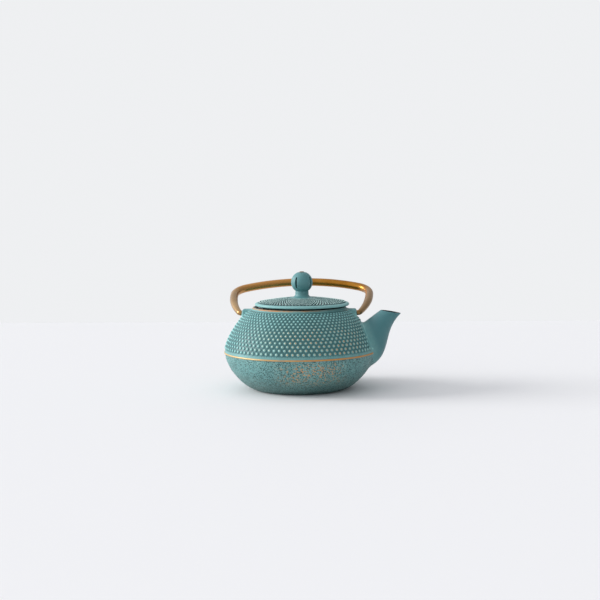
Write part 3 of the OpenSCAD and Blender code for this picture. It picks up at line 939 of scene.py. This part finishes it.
def paint_material():
    m = Mat("glazed_iron")
    relief, edge, collar, sand = m.attr("relief"), m.attr("edge"), m.attr("collar"), m.attr("sand")
    broad = m.noise(38, 4, 0.6)
    fine = m.noise(420, 3, 0.6)
    grains = m.noise(880, 2, 0.5)
    tone = m.mix(m.span(broad, 0.35, 0.68), (0.122, 0.318, 0.320), (0.170, 0.392, 0.390))
    tone = m.mix(m.span(fine, 0.4, 0.7, 0.0, 0.3), tone, (0.22, 0.42, 0.41))
    tone = m.mix(m.math("MULTIPLY", m.attr("plain"), 0.92), tone, (0.053, 0.188, 0.209))
    # The lid is painted paler all over and paler still on its stud tips: partly pale dry-brushed paint,
    # partly painted sheen for the light the lid catches at a grazing view.
    lid_sheen_and_drybrush = m.attr("lid_sheen_and_drybrush")
    tone = m.mix(m.math("MULTIPLY", lid_sheen_and_drybrush, 0.5), tone, (0.27, 0.53, 0.53))
    # painted shade: the ground between the studs is darkened, more so on the lid, standing in for the shade
    # that falls between them
    ground = m.math("MULTIPLY", m.math("SUBTRACT", 1.0, m.span(relief, 0.05, 0.62)), m.attr("studded"))
    ground = m.math("MULTIPLY", ground, m.math("ADD", m.math("MULTIPLY", lid_sheen_and_drybrush, 0.15), 0.76))
    tone = m.mix(ground, tone, m.mix(lid_sheen_and_drybrush, (0.021, 0.100, 0.106), (0.010, 0.052, 0.058)))
    # lighter stud tips: partly dry-brushed paint, partly painted highlight
    tone = m.mix(m.math("MULTIPLY", m.span(relief, 0.45, 0.92), 0.58), tone, (0.32, 0.75, 0.74))
    tone = m.mix(m.math("MULTIPLY", m.span(relief, 0.25, 0.7), lid_sheen_and_drybrush), tone, (0.60, 0.82, 0.78))
    tone = m.mix(m.math("MULTIPLY", sand, m.span(grains, 0.39, 0.53, 0.90, 0.0)), tone,
                 (0.024, 0.074, 0.070))
    tone = m.mix(m.math("MULTIPLY", sand, m.span(grains, 0.56, 0.70, 0.0, 0.5)), tone, (0.30, 0.47, 0.43))
    x, z = m.sep.outputs[0], m.sep.outputs[2]
    tone = m.mix(m.math("MULTIPLY", sand, m.span(z, 0.026, 0.004, 0.0, 0.45)), tone, (0.075, 0.112, 0.098))
    # dry-brushed gold, heavier in one patch on the front and one on the back
    patch = m.math("MULTIPLY", m.span(x, -0.026, 0.002), m.span(x, 0.054, 0.030))
    wide = m.math("MULTIPLY", m.span(x, -0.070, 0.012), m.span(x, 0.078, 0.045))
    spread = m.noise(55, 3, 0.6)
    low = m.span(z, 0.079, 0.054)
    amount = m.math("MULTIPLY", m.math("MULTIPLY", wide, low), m.span(spread, 0.30, 0.55, 0.35, 1.0))
    tips = m.math("MULTIPLY", m.span(relief, 0.66, 0.95),
                  m.math("ADD", m.math("MULTIPLY", amount, 0.85), 0.04))
    belt = m.math("MULTIPLY", edge, m.span(m.noise(120, 3, 0.6), 0.3, 0.5, 0.7, 1.0))
    specks = m.math("MULTIPLY", m.span(m.noise(680, 1, 0.5), 0.565, 0.61),
                    m.span(m.noise(70, 2, 0.5), 0.32, 0.50, 0.25, 0.9))
    band = m.math("MULTIPLY", m.span(z, 0.036, 0.031), m.span(z, 0.008, 0.019))
    specks = m.math("MULTIPLY", m.math("MULTIPLY", specks, sand), m.math("MULTIPLY", patch, band))
    gold = m.math("MAXIMUM", m.math("MAXIMUM", tips, belt), specks, clamp=True)
    # the gold turns paler towards the left, where the light comes from: a painted highlight over the gold
    gold_with_painted_highlight = m.mix(m.span(m.noise(30, 2, 0.5), 0.35, 0.65), (0.56, 0.32, 0.13), (0.62, 0.45, 0.22))
    gold_tone = m.mix(m.span(x, -0.035, 0.018), gold_with_painted_highlight, (0.62, 0.29, 0.085))
    gold_tone = m.mix(sand, gold_tone, (0.62, 0.34, 0.14))
    color = m.mix(gold, tone, gold_tone)
    rim = m.math("MULTIPLY", m.math("MULTIPLY", collar, m.span(x, 0.045, -0.01)),
                 m.span(m.noise(90, 3, 0.6), 0.35, 0.6, 0.45, 1.0))
    color = m.mix(rim, color, (0.46, 0.235, 0.095))
    color = m.mix(m.attr("hollow"), color, (0.010, 0.011, 0.012))
    rough = m.span(m.noise(250, 3, 0.6), 0.3, 0.7, 0.40, 0.56)
    height = m.math("ADD", m.math("MULTIPLY", grains, m.math("ADD", m.math("MULTIPLY", sand, 1.6), 0.3)),
                    m.math("MULTIPLY", m.noise(2200, 2, 0.5), 0.25))
    normal = m.bump(height, 0.7, 0.00045)
    return m.set(color=color, rough=rough, metallic=m.math("MULTIPLY", gold, 0.5), normal=normal,
                 spec=0.5)


def bronze_material():
    m = Mat("bronzed_iron")
    stretch = m.node("ShaderNodeMapping", {"Vector": m.xyz, "Scale": (30, 200, 200)}).outputs[0]
    broad, fine = m.noise(45, 4, 0.6), m.noise(3, 4, 0.6, vec=stretch)
    grip = m.mix(m.span(broad, 0.3, 0.7), (0.33, 0.130, 0.008), (0.42, 0.180, 0.016))
    arms = m.mix(m.span(broad, 0.3, 0.7), (0.34, 0.200, 0.078), (0.45, 0.280, 0.122))
    # painted light: the grip is painted paler towards its left end, where the light comes from, and the
    # arms darker towards the right, as painted shade
    side = m.span(m.sep.outputs[0], -0.060, 0.040)
    grip = m.mix(side, (0.60, 0.285, 0.080), grip)
    arms = m.mix(m.math("MULTIPLY", side, 0.6), arms, (0.22, 0.120, 0.044))
    color = m.mix(m.span(m.sep.outputs[1], 0.040, 0.070), arms, grip)
    color = m.mix(m.span(fine, 0.45, 0.75, 0, 0.12), color, (0.62, 0.40, 0.17))
    color = m.mix(m.span(m.noise(300, 3, 0.6), 0.62, 0.80, 0, 0.25), color, (0.16, 0.085, 0.03))
    rough = m.span(m.noise(160, 3, 0.6), 0.3, 0.7, 0.27, 0.36)
    normal = m.bump(m.math("ADD", fine, m.noise(900, 3, 0.6)), 0.05, 0.0003)
    return m.set(color=color, metallic=0.92, rough=rough, normal=normal, spec=0.5, coat=0.12,
                 coat_rough=0.2)


def enamel_material():
    m = Mat("black_enamel")
    color = m.mix(m.span(m.noise(90, 4, 0.6), 0.3, 0.7), (0.012, 0.012, 0.013), (0.028, 0.028, 0.030))
    rough = m.span(m.noise(140, 3, 0.6), 0.3, 0.7, 0.22, 0.42)
    height = m.math("ADD", m.noise(220, 3, 0.5), m.math("MULTIPLY", m.noise(1400, 2, 0.5), 0.3))
    normal = m.bump(height, 0.3, 0.0004)
    return m.set(color=color, metallic=0.0, rough=rough, normal=normal, spec=0.5)


def steel_material():
    m = Mat("basket_steel")
    lines = m.node("ShaderNodeMapping", {"Vector": m.xyz, "Scale": (60, 60, 1500)}).outputs[0]
    grain = m.noise(1.0, 3, 0.6, vec=lines)
    color = m.mix(m.span(grain, 0.3, 0.7), (0.52, 0.52, 0.51), (0.66, 0.66, 0.65))
    color = m.mix(m.span(m.noise(70, 4, 0.6), 0.5, 0.8, 0, 0.15), color, (0.48, 0.47, 0.45))
    rough = m.span(m.noise(120, 3, 0.6), 0.3, 0.7, 0.24, 0.40)
    normal = m.bump(grain, 0.12, 0.0002)
    return m.set(color=color, metallic=1.0, rough=rough, normal=normal, spec=0.5)


def brass_material():
    m = Mat("rivet_metal")
    color = m.mix(m.span(m.noise(600, 3, 0.6), 0.35, 0.7), (0.10, 0.075, 0.045), (0.34, 0.24, 0.12))
    rough = m.span(m.noise(700, 3, 0.6), 0.3, 0.7, 0.35, 0.6)
    normal = m.bump(m.noise(1500, 3, 0.6), 0.3, 0.0003)
    return m.set(color=color, metallic=0.9, rough=rough, normal=normal, spec=0.5)


paint, bronze, enamel, steel, brass = (paint_material(), bronze_material(), enamel_material(),
                                       steel_material(), brass_material())


def place(ob, body, slot, material, *nodes):
    ob.data.materials.clear()
    ob.data.materials.append(material)
    if nodes:
        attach(ob, body)
        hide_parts(*nodes)


place(build_pot(), "pot", "glazed_iron", paint, "pot_body")
place(build_lid(), "lid_assembly", "glazed_iron", paint, "lid")
place(build_knob(), "lid_assembly", "glazed_iron", paint, "knob")
place(build_rivet(), "lid_assembly", "rivet_metal", brass, "knob_rivet")
place(build_bail(), "handle", "bronzed_iron", bronze, "bail_handle")
place(build_basket_rim(), "infuser", "basket_steel", steel, "infuser_rim")
place(build_basket_wall(), "infuser", "basket_steel", steel, "infuser_mesh")
place(build_basket_cup(), "infuser", "basket_steel", steel, "infuser_base")
place(frame["nodes"]["enamel_lining"], "pot", "black_enamel", enamel)
place(frame["nodes"]["rivet_washer"], "lid_assembly", "basket_steel", steel)


# ---------------------------------------------------------------- floor, light and camera
floor_me = bpy.data.meshes.new("floor")
floor_me.from_pydata([(-6, -6, 0), (6, -6, 0), (6, 0.64, 0), (-6, 0.64, 0)], [], [(0, 1, 2, 3)])
floor = bpy.data.objects.new("floor", floor_me)
scene.collection.objects.link(floor)
floor_me.materials.append(Mat("floor").set(color=(0.85, 0.85, 0.865, 1), rough=0.7, spec=0.1))

world = bpy.data.worlds.new("studio")
scene.world = world
world.use_nodes = True
sky = Nodes(world.node_tree, "Generated")
SKY = 0.76
# how much brighter the sky is to the left and overhead, and dimmer to the right and in front
SKY_LEFT, SKY_RIGHT, SKY_FRONT, SKY_TOP = 0.50, 0.42, 0.14, 0.02
SKY_TINT, BACKDROP = (0.985, 1.0, 1.03), (0.86, 0.87, 0.885)


def side_share(axis, sign, amount):
    """amount at the middle of one side of the sky, falling to 0 on the other."""
    toward = sky.math("MAXIMUM", sky.math("MULTIPLY", sky.sep.outputs[axis], sign), 0.0)
    return sky.math("MULTIPLY", toward, amount)


level = sky.math("ADD", side_share(0, -1.0, SKY_LEFT), SKY)
level = sky.math("SUBTRACT", level, side_share(0, 1.0, SKY_RIGHT))
level = sky.math("SUBTRACT", level, side_share(1, -1.0, SKY_FRONT))
level = sky.math("ADD", level, side_share(2, 1.0, SKY_TOP))
tint = sky.node("ShaderNodeCombineColor",
                {i: sky.math("MULTIPLY", level, share) for i, share in enumerate(SKY_TINT)})
seen = sky.mix(sky.node("ShaderNodeLightPath").outputs["Is Camera Ray"], tint.outputs[0], BACKDROP)
sky.node("ShaderNodeOutputWorld", {0: sky.node("ShaderNodeBackground", {0: seen}).outputs[0]})


def window_light(azimuth, elevation, strength, width, color):
    """Broad, low daylight from one side: azimuth 0 is from the front, 90 from the right."""
    a, e = math.radians(azimuth), math.radians(elevation)
    light = bpy.data.lights.new("window", "SUN")
    light.energy, light.angle, light.color = strength, math.radians(width), color
    ob = bpy.data.objects.new("window", light)
    ob.rotation_mode = "QUATERNION"
    toward = Vector((math.sin(a) * math.cos(e), -math.cos(a) * math.cos(e), math.sin(e)))
    ob.rotation_quaternion = (-toward).to_track_quat("-Z", "Y")
    ob.location = toward * 2
    scene.collection.objects.link(ob)


window_light(-93, 21, 2.5, 30, (1.0, 0.985, 0.965))


def aim_camera():
    """The photograph's view: 3.2 degrees round towards the spout, 7.2 above the table, 1.2 m away."""
    el, az, roll = math.radians(7.17), math.radians(3.2), math.radians(0.555)
    pan, tilt = math.radians(-0.016), math.radians(2.29)
    back = Vector((math.sin(az) * math.cos(el), -math.cos(az) * math.cos(el), math.sin(el)))
    fwd, target, distance = -back, Vector((0, 0, 0.040)), 1.2
    right = fwd.cross(Vector((0, 0, 1))).normalized()
    up = right.cross(fwd)
    r2 = math.cos(roll) * right - math.sin(roll) * up
    down = -(math.sin(roll) * right + math.cos(roll) * up)
    right_f = math.cos(pan) * r2 + math.sin(pan) * fwd
    z1 = -math.sin(pan) * r2 + math.cos(pan) * fwd
    down_f = math.cos(tilt) * down + math.sin(tilt) * z1
    fwd_f = -math.sin(tilt) * down + math.cos(tilt) * z1
    cam = bpy.data.cameras.new("camera")
    cam.lens, cam.sensor_width = 72, 36
    ob = bpy.data.objects.new("camera", cam)
    m = Matrix((right_f, -down_f, -fwd_f)).transposed().to_4x4()
    m.translation = target + back * distance
    ob.matrix_world = m
    scene.collection.objects.link(ob)
    scene.camera = ob


aim_camera()
scene.view_settings.view_transform = "Standard"
